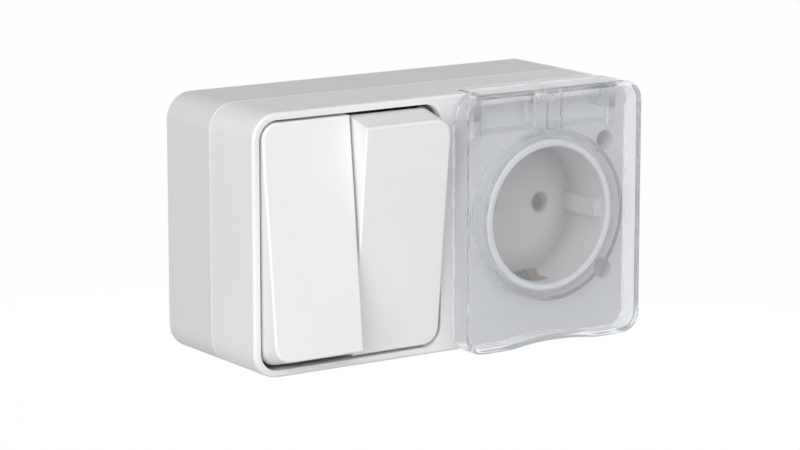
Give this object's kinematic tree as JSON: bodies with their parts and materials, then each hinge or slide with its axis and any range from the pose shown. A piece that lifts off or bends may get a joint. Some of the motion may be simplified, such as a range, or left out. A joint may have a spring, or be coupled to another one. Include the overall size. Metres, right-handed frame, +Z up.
{
  "type": "switch socket combination unit",
  "caption": "Wall-mounted white housing with a pair of rocker switches beside an earthed round-recess mains socket under a clear spring lid.",
  "frame": {"origin": "centre of the flat back face, on the wall", "axes": "+X to the right seen from the front, +Y into the wall, +Z up"},
  "size_m": [0.126, 0.0538, 0.0764],
  "materials": {
    "housing_white": "satin white moulding",
    "rocker_white": "smooth white moulding",
    "socket_white": "satin white moulding",
    "insert_plastic": "matte off-white insulating moulding",
    "clear_lid": "clear moulding",
    "rubber": "soft grey rubber",
    "brass": "stamped strip",
    "steel": "plated"
  },
  "bodies": {
    "housing": {"back_box": "housing_white", "front_cover": "housing_white", "housing_seal": "rubber", "cable_grommets": "rubber", "cover_screws": "steel", "insert_screws": "steel", "switch_base": "insert_plastic", "switch_frame": "insert_plastic", "switch_feed_terminal": "brass", "switch_out_terminals": "brass", "switch_terminal_screws": "steel", "socket_well": "socket_white", "socket_base": "insert_plastic", "pin_contacts": "brass", "earth_bar": "brass", "socket_terminal_screws": "steel", "hinge_pin": "steel", "lid_spring": "steel"},
    "left_key": {"left_rocker": "rocker_white", "left_carrier": "insert_plastic", "left_plunger": "insert_plastic", "left_spring": "steel"},
    "right_key": {"right_rocker": "rocker_white", "right_carrier": "insert_plastic", "right_plunger": "insert_plastic", "right_spring": "steel"},
    "left_contact": {"left_bridge": "brass"},
    "right_contact": {"right_bridge": "brass"},
    "lid": {"lid": "clear_lid"}
  },
  "joints": [
    {"name": "left_rock", "type": "hinge", "parent": "housing", "child": "left_key", "pos_m": [-0.046, -0.0368, 0], "axis": [1, 0, 0], "range_deg": [0, 12.2]},
    {"name": "left_contact_rock", "type": "hinge", "parent": "housing", "child": "left_contact", "pos_m": [-0.046, -0.0199, 0], "axis": [1, 0, 0], "range_deg": [-14.64, 0]},
    {"name": "right_rock", "type": "hinge", "parent": "housing", "child": "right_key", "pos_m": [-0.017, -0.0368, 0], "axis": [-1, 0, 0], "range_deg": [0, 12.2]},
    {"name": "right_contact_rock", "type": "hinge", "parent": "housing", "child": "right_contact", "pos_m": [-0.017, -0.0199, 0], "axis": [-1, 0, 0], "range_deg": [-14.64, 0]},
    {"name": "lid_hinge", "type": "hinge", "parent": "housing", "child": "lid", "pos_m": [0.0321, -0.042, 0.0325], "axis": [-1, 0, 0], "range_deg": [0, 90], "stiffness_Nm_per_rad": 0.01, "springref_deg": -28.65, "deforming": ["lid_spring"]}
  ],
  "couplings": [
    {"joint": "left_contact_rock", "follows": "left_rock", "ratio": -1.2},
    {"joint": "right_contact_rock", "follows": "right_rock", "ratio": -1.2}
  ]
}
